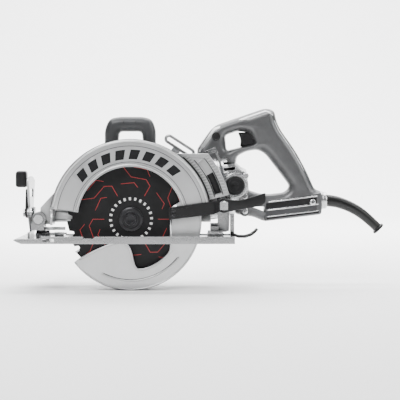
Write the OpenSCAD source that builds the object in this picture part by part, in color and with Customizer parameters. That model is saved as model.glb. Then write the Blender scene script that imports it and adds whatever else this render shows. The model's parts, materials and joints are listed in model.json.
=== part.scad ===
// Worm drive circular saw with its blade on the left side.
// Origin: on the sole plane, straight below the arbor, in the blade's middle plane.
// +X points to the rear, +Y away from the blade side, +Z up. Millimetres.

/* [Blade] */
// Diameter over the tooth tips
blade_d = 184.2; // [181:0.2:185]
// Number of teeth
teeth = 24; // [16:2:30]
// Thickness of the blade body
blade_t = 1.2; // [1:0.1:1.6]

/* [Guards] */
// Outer radius of the upper guard
guard_r = 113.2; // [112.8:0.1:113.6]
// Radius of the window in the upper guard's near face
window_r = 74.3; // [70:0.1:78]
// Outer radius of the lower guard
lower_r = 100; // [97:0.5:102]

/* [Foot] */
// Height of the arbor above the sole
arbor_z = 32; // [31.5:0.1:33]
// Thickness of the sole plate
sole_t = 3; // [2.5:0.1:3]
// Height of the near rail
rail_h = 10; // [8:0.5:10.5]

/* [Motor] */
// Distance of the motor axis from the blade plane
motor_y = 68; // [67.6:0.1:68.4]
// Rise of the motor axis towards the rear, in degrees
motor_tilt = 7; // [6.8:0.1:7.2]
// Outer radius of the motor housing
motor_r = 45; // [44:0.2:45.4]

/* [Handle] */
// Half thickness of the rear handle
grip_half = 17; // [15:0.5:18]
// Travel of the trigger
trigger_travel = 6; // [3:0.5:6.5]

/* [Hidden] */
$fn = 72;
blade_r = blade_d / 2;
worm_rise = 29.1;
run = 0.05;

// Stations along Y, from the blade side to the motor side
near_face = -16;
near_back = -13;
far_face = 18;
far_back = 22;
lower_near = -11;
lower_far = 14;
nose_start = 7;
nose_r = 23.95;
box_end = motor_y + 24;
cover_end = box_end + 4;
strap_near = -19;

// Depth pivot at the front, and the lock bolt at the rear, as seen from the blade side
pivot = [-129.5, 0.7];
lock = [131, 20];
lock_reach = norm(lock - pivot);
lock_angle = atan2(lock[1] - pivot[1], lock[0] - pivot[0]);
depth_range = 15;

// Bevel axis, above the sole in the blade plane, and the bevel bolt
bevel_z = 10;
bevel_reach = 34;
bevel_rest = 65;
bevel_range = 50;
bolt_y = bevel_reach * cos(bevel_rest);
bolt_z = bevel_z + bevel_reach * sin(bevel_rest);
knuckle_r = 6.5;
quadrant_x = -143;

// Stations along the motor axis
worm_front = -52;
motor_front = 40;
cap_front = 128;
cap_rear = 169;
brush_x = 149;

// ---- Helpers ----

// Extrude an outline drawn in (X, Z) from station y0 to y1, with its zero at the arbor's height
module slab(y0, y1) {
    translate([0, y1, arbor_z]) rotate([90, 0, 0]) linear_extrude(y1 - y0) children();
}

// Extrude an outline drawn in (Y, Z) from x0 to x1
module plate_x(x0, x1) {
    translate([x0, 0, 0]) rotate([90, 0, 90]) linear_extrude(x1 - x0) children();
}

// Round bar along Y at a place given from the arbor
module bar_y(place, r, y0, y1) {
    translate([place[0], y1, arbor_z + place[1]]) rotate([90, 0, 0]) cylinder(r = r, h = y1 - y0);
}

// Round bar along X
module bar_x(y, z, r, x0, x1) {
    translate([x0, y, z]) rotate([0, 90, 0]) cylinder(r = r, h = x1 - x0);
}

// Frame of the motor: its X runs along the armature towards the rear
module on_motor() {
    translate([0, motor_y, arbor_z + worm_rise]) rotate([0, -motor_tilt, 0]) children();
}

module motor_bar(r, x0, x1) {
    on_motor() bar_x(0, 0, r, x0, x1);
}

// Revolve a (station, radius) outline about the motor axis
module motor_turned() {
    on_motor() rotate([0, 90, 0]) rotate_extrude() mirror([1, -1]) children();
}

function polar(r, a) = [r * cos(a), r * sin(a)];

module wedge(r, a0, a1) {
    steps = ceil((a1 - a0) / 30);
    polygon(concat([[0, 0]], [for (i = [0 : steps]) polar(1.3 * r, a0 + (a1 - a0) * i / steps)]));
}

module sector(r0, r1, a0, a1) {
    intersection() {
        difference() {
            circle(r1);
            circle(r0);
        }
        wedge(r1, a0, a1);
    }
}

// ---- Guard, strap and shroud ----

strap_holes = [[60, 5.5], [60, 13]];
handle_bolts = [[-31, 94], [25, 94]];

module upper_guard() {
    color("silver") difference() {
        union() {
            slab(near_face, near_back) {
                sector(window_r, guard_r, 8, 172);
                polygon([[55, 2], [55, 16], [76, 30], [112, 20], [112, 10]]);
            }
            slab(near_back, far_face) sector(guard_r - 3.2, guard_r, 6, 184);
            slab(far_face, far_back) {
                intersection() {
                    circle(guard_r);
                    translate([-guard_r, -5]) square([2 * guard_r, 2 * guard_r]);
                }
                hull() {
                    translate(lock) circle(12);
                    translate([95, 12]) circle(12);
                }
            }
            slab(-8, 6) {
                translate(pivot) circle(7.5);
                translate([pivot[0], pivot[1] - 7.5]) square([19, 15]);
                polygon([[-128, 6], [-127, 17], [-107.5, 38], [-100, 38], [-109, 6]]);
            }
        }
        slab(near_face - 1, near_face + 1) sector(80.6, 104, 8, 172);
        slab(12.5, far_face) sector(guard_r - 6, guard_r + 3, 51, 173);
        bar_y([0, 0], nose_r, far_face - 1, far_back + 1);
        bar_y(pivot, 4 + run, -9, 7);
        bar_y(lock, 4, far_face - 1, far_back + 1);
        for (p = strap_holes) bar_y(p, 1.8, near_face - 1, near_back + 1);
        for (p = handle_bolts) bar_y(p, 2.5, far_face - 1, far_back + 1);
    }
}

module guard_strap() {
    color([0.08, 0.08, 0.09]) difference() {
        slab(strap_near, near_face) {
            polygon([[54, 0], [54, 17], [117, 26], [126, 28], [126, 12], [117, 8]]);
            translate(lock) circle(10);
        }
        bar_y(lock, 4, strap_near - 1, near_face + 1);
        for (p = strap_holes) bar_y(p, 1.8, strap_near - 1, near_face + 1);
    }
}

module strap_screws() {
    color([0.2, 0.2, 0.21]) for (p = strap_holes) {
        bar_y(p, 3.2, strap_near - 2, strap_near);
        bar_y(p, 1.8, strap_near, near_back);
    }
}

module rear_shroud() {
    color("silver") difference() {
        slab(-6, 12) intersection() {
            sector(guard_r, 143, 14, 56);
            square([150, 93]);
        }
        slab(-7, -4.5) sector(123, 134, 16, 40);
    }
}

module guard_spring() {
    color([0.45, 0.46, 0.48]) slab(14.4, 17.6) difference() {
        circle(29.5);
        circle(nose_r + 0.6);
    }
}

// ---- Gear housing ----

lock_button = [-15, -15];

module gear_housing() {
    color([0.74, 0.75, 0.76]) difference() {
        union() {
            bar_y([0, 0], nose_r, nose_start, far_back);
            bar_y([0, 0], 26.5, far_back, box_end);
            motor_bar(20, worm_front, motor_front);
            motor_bar(motor_r, motor_front - 4, motor_front);
        }
        bar_y([0, 0], 9, nose_start - 1, 26);
        bar_y([0, 0], 16, 26, motor_y - 17);
        bar_y([0, 0], 23.4, motor_y - 18, motor_y + 18);
        bar_y([0, 0], 16, motor_y + 17, box_end + 1);
        motor_bar(14, worm_front + 4, motor_front + 1);
        bar_y(lock_button, 3 + run, motor_y + 7.5, box_end + 1);
    }
}

module gear_cover() {
    color([0.7, 0.71, 0.72]) difference() {
        bar_y([0, 0], 26.5, box_end, cover_end);
        bar_y(lock_button, 3 + run, box_end - 1, cover_end + 1);
        bar_y([0, 0], 10, cover_end - 1.5, cover_end + 1);
    }
}

module oil_plug() {
    color([0.1, 0.1, 0.1]) translate([-14, cover_end, arbor_z + 15]) rotate([-90, 0, 0]) {
        cylinder(r = 5.5, h = 3, $fn = 6);
    }
}

module spindle_lock_button() {
    color([0.1, 0.1, 0.1]) {
        bar_y(lock_button, 3, motor_y + 12, cover_end + 5);
        bar_y(lock_button, 4.5, cover_end + 5, cover_end + 8);
    }
}

module arbor_bearings() {
    color([0.6, 0.6, 0.62]) for (y = [[27, 37], [motor_y + 18, box_end]]) difference() {
        bar_y([0, 0], 16, y[0], y[1]);
        bar_y([0, 0], 8 + run, y[0] - 1, y[1] + 1);
    }
}

// ---- Motor ----

vents = [22, 31];

module cap_solid() {
    motor_turned() polygon([
        [cap_front, 0], [cap_front, motor_r], [142, motor_r], [154, 34], [162, 25],
        [cap_rear, 20], [cap_rear, 0]
    ]);
}

module motor_housing() {
    color([0.8, 0.81, 0.82]) difference() {
        motor_bar(motor_r, motor_front, cap_front);
        motor_bar(motor_r - 3.5, motor_front - 1, cap_front + 1);
    }
}

module motor_end_cap() {
    color([0.78, 0.79, 0.8]) difference() {
        union() {
            cap_solid();
            on_motor() for (side = [-1, 1]) {
                translate([brush_x, side * 36.5, 0]) rotate([90, 0, 0]) {
                    cylinder(r = 18.5, h = 23, center = true);
                }
            }
        }
        motor_turned() polygon([
            [cap_front - 1, 0], [cap_front - 1, 41.5], [140, 41.5], [152, 29],
            [157, 18], [157, 11], [166, 11], [166, 0]
        ]);
        on_motor() {
            for (z = vents) translate([136, -motor_r, z]) cube([18, 2 * motor_r, 4]);
            translate([brush_x, 0, 0]) rotate([90, 0, 0]) cylinder(r = 14, h = 110, center = true);
        }
    }
}

module field_stator() {
    color([0.45, 0.3, 0.2]) difference() {
        motor_bar(motor_r - 3.5, 62, 112);
        motor_bar(27, 61, 113);
    }
}

module carbon_brushes() {
    color([0.15, 0.15, 0.15]) on_motor() for (side = [-1, 1]) {
        translate([brush_x - 4, side * 23.5 - 10, -3]) cube([8, 20, 6]);
    }
}

module brush_caps() {
    color([0.05, 0.05, 0.05]) on_motor() for (side = [-1, 1]) {
        translate([brush_x, side * 42, 0]) rotate([90, 0, 0]) cylinder(r = 14, h = 16, center = true);
    }
}

module armature_bearings() {
    color([0.6, 0.6, 0.62]) for (b = [[-48, -38, 14], [26, 36, 14], [157, 166, 11]]) difference() {
        motor_bar(b[2], b[0], b[1]);
        motor_bar(5 + run, b[0] - 1, b[1] + 1);
    }
}

module armature_shaft() {
    color([0.65, 0.66, 0.68]) {
        motor_bar(5, -47, 165);
        for (i = [-3 : 3]) motor_bar(6.6, 4.6 * i - 1.2, 4.6 * i + 1.2);
    }
}

module armature_core() {
    color([0.35, 0.3, 0.25]) difference() {
        motor_bar(26, 60, 114);
        motor_bar(5, 59, 115);
        on_motor() for (i = [0 : 11]) rotate([30 * i, 0, 0]) translate([59, -1.5, 20]) cube([56, 3, 8]);
    }
}

module commutator() {
    color([0.7, 0.42, 0.22]) difference() {
        motor_bar(13, 141, 156);
        motor_bar(5, 140, 157);
    }
}

module cooling_fan() {
    color([0.12, 0.12, 0.13]) difference() {
        union() {
            motor_bar(38, 44, 46);
            motor_bar(9, 46, 55);
            on_motor() for (i = [0 : 8]) rotate([40 * i, 0, 0]) translate([45, -1, 8]) cube([10, 2, 29]);
        }
        motor_bar(5, 43, 56);
    }
}

// ---- Handles ----

grip_outline = [
    [92, 98], [96, 106], [116, 134], [194, 160], [207, 156], [209, 141], [215, 128],
    [237, 98], [255, 65], [265, 39], [276, 38], [276, 3], [191, -7], [177, 0], [153, 4],
    [146, 20], [120, 60], [92, 80]
];
finger_window = [
    [150, 60], [168, 39], [191, 32], [223, 36], [229.5, 44], [229, 49], [193, 93],
    [188, 98], [182, 99], [164, 95], [153, 89]
];
trigger_window = [[134, 120], [153, 126], [166, 124], [178, 107], [156, 102], [136, 97]];
cavity_half = 9.5;
handle_holes = [[163, 9], [262, 22]];
plug_place = [121, 118];

module handle_half(y0, y1) {
    difference() {
        slab(y0, y1) difference() {
            polygon(grip_outline);
            polygon(finger_window);
            polygon(trigger_window);
        }
        cap_solid();
        motor_bar(motor_r, motor_front, cap_front + 1);
        slab(motor_y - cavity_half, motor_y + cavity_half) translate([150, 102.2]) square([61, 24.8]);
        for (p = handle_holes) bar_y(p, 2.5, y0 - 1, y1 + 1);
        bar_y(plug_place, 6, motor_y - grip_half - 1, motor_y - grip_half + 3);
    }
}

module handle_shell_near() {
    color([0.42, 0.43, 0.44]) handle_half(motor_y - grip_half, motor_y);
}

module handle_shell_far() {
    color([0.42, 0.43, 0.44]) handle_half(motor_y, motor_y + grip_half);
}

module handle_screws() {
    color([0.2, 0.2, 0.2]) for (p = handle_holes) {
        bar_y(p, 5, motor_y - grip_half - 2, motor_y - grip_half);
        bar_y(p, 2.5, motor_y - grip_half, motor_y + grip_half);
    }
}

module handle_plug() {
    color([0.05, 0.05, 0.05]) bar_y(plug_place, 6, motor_y - grip_half - 1.5, motor_y - grip_half + 3);
}

module trigger() {
    color([0.06, 0.06, 0.06]) slab(motor_y - 9, motor_y + 9) {
        polygon([[153, 124.5], [157.5, 113], [156, 102.8], [176, 102.8], [184, 110], [184, 124.5]]);
    }
}

module trigger_switch() {
    color([0.15, 0.15, 0.16]) slab(motor_y - 8, motor_y + 8) translate([186 + trigger_travel, 104]) {
        square([25 - trigger_travel, 21]);
    }
}

module front_handle() {
    color([0.3, 0.31, 0.32]) difference() {
        union() {
            slab(28, 52) difference() {
                polygon([
                    [-40, 84], [-40, 130], [-34, 141], [-24, 146], [18, 146], [28, 141],
                    [34, 130], [34, 84]
                ]);
                translate([-22, 83]) square([38, 42]);
            }
            for (p = handle_bolts) slab(far_back, 28) translate([p[0] - 9, 84]) square([18, 20]);
        }
        for (p = handle_bolts) bar_y(p, 2.5, far_back - 1, 53);
    }
}

module front_handle_screws() {
    color([0.2, 0.2, 0.2]) for (p = handle_bolts) {
        bar_y(p, 2.5, far_face, 52);
        bar_y(p, 4.8, 52, 55);
    }
}

module cord_collar() {
    color([0.75, 0.76, 0.77]) difference() {
        bar_x(motor_y, arbor_z + 24, 13, 276, 284);
        bar_x(motor_y, arbor_z + 24, 5, 275, 285);
    }
}

// Stations of the strain relief: place along its bend, direction below level, radius
boot_path = [
    [284, 24, 0, 8.6], [300, 21.5, 12, 8.3], [318, 14.8, 24, 7.9], [335, 4.8, 35, 7.5],
    [350, -7.6, 42, 7.1], [359, -16.2, 45, 6.9]
];

module boot_disc(p) {
    translate([p[0], motor_y, arbor_z + p[1]]) rotate([0, 90 + p[2], 0]) cylinder(r = p[3], h = 0.6, $fn = 32);
}

module cord_boot() {
    color([0.04, 0.04, 0.04]) difference() {
        union() {
            for (i = [0 : len(boot_path) - 2]) hull() {
                boot_disc(boot_path[i]);
                boot_disc(boot_path[i + 1]);
            }
            translate([359, motor_y, arbor_z - 16.2]) rotate([0, 135, 0]) cylinder(r = 9.6, h = 3.5);
        }
        translate([359, motor_y, arbor_z - 16.2]) rotate([0, 135, 0]) {
            translate([0, 0, -18]) cylinder(r = 4.6, h = 25);
        }
    }
}

// ---- Depth lock ----

module depth_lock_bolt() {
    color([0.75, 0.76, 0.77]) {
        bar_y(lock, 4, -24.3, 26);
        slab(-30, -24.3) translate(lock) square(11, center = true);
    }
}

module depth_lock_nut() {
    color([0.5, 0.5, 0.52]) difference() {
        slab(far_back, 26) translate(lock) circle(7.5, $fn = 6);
        bar_y(lock, 4, far_back - 1, 28);
    }
}

module depth_lever() {
    color([0.05, 0.05, 0.05]) difference() {
        union() {
            bar_y(lock, 10, -24, -19.3);
            slab(-24, -20) polygon([
                [131, 11], [150, 14], [184, 20], [190, 27], [188, 38], [180, 37], [152, 27], [131, 29]
            ]);
        }
        bar_y(lock, 4 + run, -25, -18);
    }
}

// ---- Blade and drive ----

tip_angle = 360 / teeth;

// One carbide tip: its cutting face leads in the direction of rotation
module tip_outline() {
    polygon([[blade_r - 6.5, 0], [blade_r, 0], [blade_r - 1, 2.4], [blade_r - 6.5, 2.4]]);
}

module blade() {
    color([0.07, 0.07, 0.08]) difference() {
        slab(-blade_t / 2, blade_t / 2) difference() {
            circle(blade_r - 1.2);
            circle(8);
            for (i = [0 : teeth - 1]) rotate(i * tip_angle) {
                tip_outline();
                polygon([
                    [blade_r - 9, -4.5], [blade_r - 9, -1], [blade_r - 6.5, 0], [blade_r + 2, 0],
                    [blade_r + 2, -9]
                ]);
                polygon([
                    [blade_r - 1, 2.4], [blade_r + 2, 2.4], [blade_r + 2, 17], [blade_r - 4.5, 17]
                ]);
            }
        }
    }
}

module blade_tips() {
    color([0.6, 0.61, 0.62]) slab(-0.9, 0.9) for (i = [0 : teeth - 1]) rotate(i * tip_angle) tip_outline();
}

module inner_washer() {
    color([0.3, 0.3, 0.31]) difference() {
        bar_y([0, 0], 20, blade_t / 2, 4.5);
        bar_y([0, 0], 8, 0, 5);
    }
}

module outer_washer() {
    color([0.2, 0.2, 0.21]) difference() {
        bar_y([0, 0], 17, -4, -blade_t / 2);
        bar_y([0, 0], 4, -5, 0);
    }
}

module arbor_bolt() {
    color([0.25, 0.25, 0.26]) {
        slab(-9, -4) circle(9, $fn = 6);
        bar_y([0, 0], 4, -4, 20);
    }
}

module arbor_shaft() {
    color([0.6, 0.61, 0.63]) difference() {
        bar_y([0, 0], 8, -blade_t / 2, box_end - 1);
        bar_y([0, 0], 4, -1, 20);
    }
}

module worm_wheel() {
    color([0.72, 0.55, 0.25]) slab(motor_y - 7, motor_y + 7) difference() {
        circle(21.9);
        circle(8);
        for (i = [0 : 21]) rotate(i * 360 / 22) translate([19.4, -1.2]) square([4, 2.4]);
    }
}

// ---- Lower guard ----

guard_cut = [
    [-72, -56], [-59, -49], [-45, -42], [-30, -36], [-14, -32], [-6, -35], [-1, -42], [2, -50],
    [4, -62], [7, -69], [12, -71], [17, -70], [29, -66], [40, -60], [51, -51], [56, -44],
    [56, 60], [-120, 60], [-120, -56]
];
hub_r = 42;
lift_angle = 57;

module lower_guard() {
    color([0.82, 0.83, 0.84]) difference() {
        union() {
            slab(lower_near, lower_near + 2) difference() {
                sector(0, lower_r, -143, 12);
                polygon(guard_cut);
            }
            slab(lower_near + 2, lower_far - 2) sector(lower_r - 2.5, lower_r, -143, 12);
            slab(lower_far - 2, lower_far) {
                sector(0, lower_r, -143, 12);
                circle(hub_r);
            }
            bar_y([0, 0], 29, 8, lower_far - 2);
        }
        bar_y([0, 0], nose_r + run, 7, lower_far + 1);
    }
}

module guard_lift_lever() {
    color([0.8, 0.81, 0.82]) {
        slab(lower_far, 16) rotate(lift_angle) translate([32, -6]) square([86.8, 12]);
        slab(13.6, 16.8) rotate(lift_angle) translate([124.5, 0]) difference() {
            hull() for (t = [-19, 17]) translate([0, t]) circle(6.5);
            hull() for (t = [-19, 17]) translate([0, t]) circle(3.3);
        }
    }
}

// ---- Depth carriage ----

module front_bracket() {
    color([0.76, 0.77, 0.78]) difference() {
        union() {
            for (y = [[-13, -8.3], [6.3, 11]]) slab(y[0], y[1]) {
                translate(pivot) circle(10);
                translate([pivot[0] - 9, 17 - arbor_z]) square([17, 16]);
            }
            translate([-138.5, -13, 17]) cube([17, 24, 5.2]);
            bar_x(0, bevel_z, knuckle_r, -130, -120);
            translate([-130, -4, bevel_z]) cube([8.5, 8, 8]);
            plate_x(-140, -137.5) {
                translate([-13, 17]) square([24, 11]);
                translate([2, 20]) square([12, 20.8]);
                translate([bolt_y, bolt_z]) circle(8);
            }
        }
        bar_y(pivot, 4, -14, 12);
        bar_x(0, bevel_z, 3 + run, -131, -119);
        bar_x(bolt_y, bolt_z, 3.8, -141, -137);
    }
}

module depth_pivot_pin() {
    color([0.55, 0.56, 0.58]) {
        bar_y(pivot, 4, -13, 11);
        bar_y(pivot, 6.5, -15.5, -13);
    }
}

module bevel_bolt() {
    color([0.5, 0.51, 0.53]) {
        bar_x(bolt_y, bolt_z, 3.8, -152, -137.5);
        plate_x(-154.5, -152) translate([bolt_y, bolt_z]) circle(6.5, $fn = 6);
    }
}

module depth_quadrant() {
    slot_half = 4.5;
    margin = 1.5;
    end_angle = lock_angle + depth_range;
    color([0.72, 0.73, 0.74]) difference() {
        union() {
            slab(14, 17) {
                translate(pivot) sector(lock_reach - 9, lock_reach + 8, -4, end_angle + 3);
                translate([112, -19]) square([24, 13]);
            }
            translate([112, 0, 13]) cube([12, 15, 9]);
            bar_x(0, bevel_z, knuckle_r, 112, 124);
        }
        slab(13, 18) translate(pivot) {
            sector(lock_reach - slot_half, lock_reach + slot_half, lock_angle - margin, end_angle + margin);
        }
        bar_x(0, bevel_z, 3 + run, 111, 125);
    }
}

// ---- Foot ----

foot_x0 = -160;
foot_x1 = 146;
foot_y0 = -44;
foot_y1 = 98;
tip = 12;
screw_place = [-109, 60];

module knuckle_ear(x0, x1) {
    bar_x(0, bevel_z, knuckle_r, x0, x1);
    translate([x0, -knuckle_r, sole_t - 1]) cube([x1 - x0, 2 * knuckle_r, bevel_z - sole_t + 1]);
}

module foot_plate() {
    color([0.8, 0.81, 0.82]) difference() {
        union() {
            translate([0, foot_y1, 0]) rotate([90, 0, 0]) linear_extrude(foot_y1 - foot_y0) polygon([
                [foot_x0 + 10, 0], [foot_x1, 0], [foot_x1, sole_t], [foot_x0 + 12, sole_t],
                [foot_x0 + 3, 7], [foot_x0, 6], [foot_x0, 4.5]
            ]);
            translate([0, foot_y0 + 3, 0]) rotate([90, 0, 0]) linear_extrude(3) polygon([
                [foot_x0 + 10, 0], [foot_x0, 4.5], [foot_x0, 6], [foot_x0 + 3, 7], [-126, 7.2],
                [-122, rail_h], [-64, rail_h], [-62, rail_h - 2.5], [-50, rail_h - 2.5], [-48, rail_h],
                [foot_x1, rail_h], [foot_x1, 0]
            ]);
            translate([foot_x0 + tip, foot_y1 - 3, 0]) cube([foot_x1 - foot_x0 - tip, 3, 5]);
            for (x = [[-134, -130.3], [-119.7, -115], [108.5, 111.7], [124.3, 130]]) knuckle_ear(x[0], x[1]);
            translate([screw_place[0], screw_place[1], 0]) cylinder(r = 7, h = 10);
        }
        translate([-102, -32, -1]) cube([210, 70, sole_t + 2]);
        for (x = [[-134, -130.3], [-119.7, -115], [108.5, 111.7], [124.3, 130]]) {
            bar_x(0, bevel_z, 3, x[0] - 1, x[1] + 1);
        }
        translate([screw_place[0], screw_place[1], -1]) cylinder(r = 2.5, h = 12);
        translate([-120, foot_y0 - 1, sole_t]) cube([16, 5, 4]);
        translate([-120, foot_y1 - 4, sole_t]) cube([16, 5, 3]);
    }
}

module bevel_quadrant() {
    half = 4.4;
    margin = 9;
    color([0.74, 0.75, 0.76]) difference() {
        plate_x(quadrant_x, quadrant_x + 2.7) {
            translate([0, bevel_z]) {
                sector(0, 44, 50, 130);
                sector(0, 83, 66, 112);
            }
            translate([-26, sole_t]) square([52, 12]);
        }
        plate_x(quadrant_x - 1, quadrant_x + 4) translate([0, bevel_z]) {
            sector(
                bevel_reach - half, bevel_reach + half, bevel_rest - margin,
                bevel_rest + bevel_range + margin
            );
            sector(54, 66, 74, 104);
        }
    }
}

module bevel_pins() {
    color([0.5, 0.5, 0.52]) {
        bar_x(0, bevel_z, 3, -135, -114);
        bar_x(0, bevel_z, 3, 107.5, 131);
    }
}

module rear_bracket() {
    color([0.7, 0.71, 0.72]) difference() {
        translate([140.2, -6, sole_t]) cube([5.8, 12, 37]);
        bar_y([143, -20], 2, -7, 7);
    }
}

module bevel_lever() {
    color([0.05, 0.05, 0.05]) difference() {
        union() {
            bar_x(bolt_y, bolt_z, 8, -151.7, -145.5);
            translate([-150, bolt_y - 4, bolt_z]) cube([4.5, 8, 40]);
            translate([-157, bolt_y - 4, bolt_z + 26]) cube([10, 8, 6]);
            translate([-165, bolt_y - 8, bolt_z + 35]) cube([17, 16, 25]);
        }
        bar_x(bolt_y, bolt_z, 3.8 + run, -153, -144);
    }
}

module bevel_stop_lever() {
    color([0.05, 0.05, 0.05]) {
        bar_y([143, -20], 2 - run, -9, 9);
        for (y = [[-9, -6.3], [6.3, 9]]) slab(y[0], y[1]) {
            translate([143, -20]) circle(4);
            polygon([[143, -24], [160, -27], [160, -22], [143, -16]]);
        }
        slab(-9, 9) polygon([[156, -26.3], [168, -26], [177, -21], [180, -15], [176, -13], [168, -21], [156, -22]]);
    }
}

upper_guard();
guard_strap();
strap_screws();
rear_shroud();
gear_housing();
gear_cover();
oil_plug();
motor_housing();
motor_end_cap();
field_stator();
carbon_brushes();
brush_caps();
handle_shell_near();
handle_shell_far();
handle_screws();
handle_plug();
front_handle();
front_handle_screws();
trigger_switch();
cord_collar();
cord_boot();
arbor_bearings();
armature_bearings();
guard_spring();
depth_lock_bolt();
depth_lock_nut();
blade();
blade_tips();
inner_washer();
outer_washer();
arbor_bolt();
arbor_shaft();
worm_wheel();
armature_shaft();
armature_core();
commutator();
cooling_fan();
lower_guard();
guard_lift_lever();
trigger();
depth_lever();
front_bracket();
depth_pivot_pin();
bevel_bolt();
depth_quadrant();
foot_plate();
bevel_quadrant();
bevel_pins();
rear_bracket();
bevel_lever();
bevel_stop_lever();
spindle_lock_button();
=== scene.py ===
import json
import math
import bmesh
import bpy
import numpy as np
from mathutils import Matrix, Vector, geometry


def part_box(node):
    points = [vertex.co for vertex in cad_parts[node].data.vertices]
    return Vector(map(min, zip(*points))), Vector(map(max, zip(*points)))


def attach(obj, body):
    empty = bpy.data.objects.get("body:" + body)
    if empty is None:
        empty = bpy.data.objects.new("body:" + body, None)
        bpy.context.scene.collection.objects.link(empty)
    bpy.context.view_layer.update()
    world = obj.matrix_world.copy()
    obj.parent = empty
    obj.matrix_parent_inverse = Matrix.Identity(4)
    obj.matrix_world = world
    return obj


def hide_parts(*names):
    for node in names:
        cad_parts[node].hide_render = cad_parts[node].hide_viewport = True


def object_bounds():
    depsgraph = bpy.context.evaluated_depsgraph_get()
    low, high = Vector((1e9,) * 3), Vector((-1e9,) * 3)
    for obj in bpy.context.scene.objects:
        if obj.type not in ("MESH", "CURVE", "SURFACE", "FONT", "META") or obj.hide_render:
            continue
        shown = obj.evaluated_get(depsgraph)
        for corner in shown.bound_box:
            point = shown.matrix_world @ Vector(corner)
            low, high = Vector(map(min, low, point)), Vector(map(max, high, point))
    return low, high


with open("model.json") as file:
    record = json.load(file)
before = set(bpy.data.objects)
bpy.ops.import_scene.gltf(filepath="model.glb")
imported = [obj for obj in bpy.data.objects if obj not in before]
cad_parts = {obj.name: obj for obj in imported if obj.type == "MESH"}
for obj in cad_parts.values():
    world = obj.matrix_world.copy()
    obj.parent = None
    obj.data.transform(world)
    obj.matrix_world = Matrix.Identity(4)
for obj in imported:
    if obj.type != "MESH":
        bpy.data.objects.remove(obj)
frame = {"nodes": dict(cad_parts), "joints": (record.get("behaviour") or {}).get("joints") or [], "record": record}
cad_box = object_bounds()
NODES = frame["nodes"]
JOINTS = {j["name"]: j for j in frame["joints"]}
ARBOR = Vector(JOINTS["blade_spin"]["pos_m"])
MM = 0.001
MOTOR_AXIS = Vector(JOINTS["armature_spin"]["axis"]).normalized()
MOTOR_POINT = Vector(JOINTS["armature_spin"]["pos_m"])
MOTOR_Y = MOTOR_POINT.y / MM


def at(x, y, z):
    """A place in millimetres from the arbor's centre, in the frame's metres."""
    return Vector((x * MM, y * MM, ARBOR.z + z * MM))


def polar(r, degrees):
    a = math.radians(degrees)
    return r * math.cos(a), r * math.sin(a)


# ---- Materials ----

def material(name, colour, metallic, roughness, mottle=0.12, rough_spread=0.1,
             grain=900.0, bump=0.08, coarse=45.0, stretch=(1, 1, 1), painted_crevice_shade=0.0, specular=0.5):
    """A surface with cloudy colour, uneven gloss, a fine grain and painted shade that darkens its crevices."""
    mat = bpy.data.materials.new(name)
    mat.use_nodes = True
    tree = mat.node_tree
    shader = tree.nodes["Principled BSDF"]
    shader.inputs["Metallic"].default_value = metallic
    shader.inputs["Specular IOR Level"].default_value = specular

    def node(kind, **values):
        made = tree.nodes.new(kind)
        for key, value in values.items():
            made.inputs[key].default_value = value
        return made

    coords = tree.nodes.new("ShaderNodeTexCoord")
    mapping = node("ShaderNodeMapping", Scale=stretch)
    tree.links.new(coords.outputs["Object"], mapping.inputs["Vector"])
    cloud = node("ShaderNodeTexNoise", Scale=coarse, Detail=5.0, Roughness=0.6)
    fine = node("ShaderNodeTexNoise", Scale=grain, Detail=3.0, Roughness=0.55)
    for texture in (cloud, fine):
        tree.links.new(mapping.outputs["Vector"], texture.inputs["Vector"])

    ramp = tree.nodes.new("ShaderNodeValToRGB")
    ramp.color_ramp.elements[0].position = 0.3
    ramp.color_ramp.elements[1].position = 0.72
    ramp.color_ramp.elements[0].color = [c * (1 - mottle) for c in colour] + [1]
    ramp.color_ramp.elements[1].color = [min(1, c * (1 + mottle)) for c in colour] + [1]
    tree.links.new(cloud.outputs["Fac"], ramp.inputs["Fac"])
    colour_out = ramp.outputs["Color"]
    # Painted shade: an ambient-occlusion mask darkens the base colour in creases and close to other parts.
    if painted_crevice_shade:
        near = tree.nodes.new("ShaderNodeAmbientOcclusion")
        near.samples = 6
        near.inputs["Distance"].default_value = 0.011
        shade = tree.nodes.new("ShaderNodeMapRange")
        shade.inputs["From Min"].default_value = 0.35
        shade.inputs["From Max"].default_value = 0.92
        shade.inputs["To Min"].default_value = 1 - painted_crevice_shade
        tree.links.new(near.outputs["AO"], shade.inputs["Value"])
        painted_shade_scale = tree.nodes.new("ShaderNodeVectorMath")
        painted_shade_scale.operation = "SCALE"
        tree.links.new(ramp.outputs["Color"], painted_shade_scale.inputs[0])
        tree.links.new(shade.outputs["Result"], painted_shade_scale.inputs["Scale"])
        colour_out = painted_shade_scale.outputs["Vector"]
    tree.links.new(colour_out, shader.inputs["Base Color"])

    spread = tree.nodes.new("ShaderNodeMapRange")
    spread.inputs["To Min"].default_value = max(0.03, roughness - rough_spread)
    spread.inputs["To Max"].default_value = min(1, roughness + rough_spread)
    blend = tree.nodes.new("ShaderNodeMath")
    blend.operation = "MULTIPLY_ADD"
    blend.inputs[1].default_value = 0.5
    tree.links.new(fine.outputs["Fac"], blend.inputs[0])
    half = tree.nodes.new("ShaderNodeMath")
    half.operation = "MULTIPLY"
    half.inputs[1].default_value = 0.5
    tree.links.new(cloud.outputs["Fac"], half.inputs[0])
    tree.links.new(half.outputs[0], blend.inputs[2])
    tree.links.new(blend.outputs[0], spread.inputs["Value"])
    tree.links.new(spread.outputs["Result"], shader.inputs["Roughness"])

    relief = node("ShaderNodeBump", Strength=bump, Distance=0.0006)
    tree.links.new(fine.outputs["Fac"], relief.inputs["Height"])
    tree.links.new(relief.outputs["Normal"], shader.inputs["Normal"])
    return mat


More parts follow.
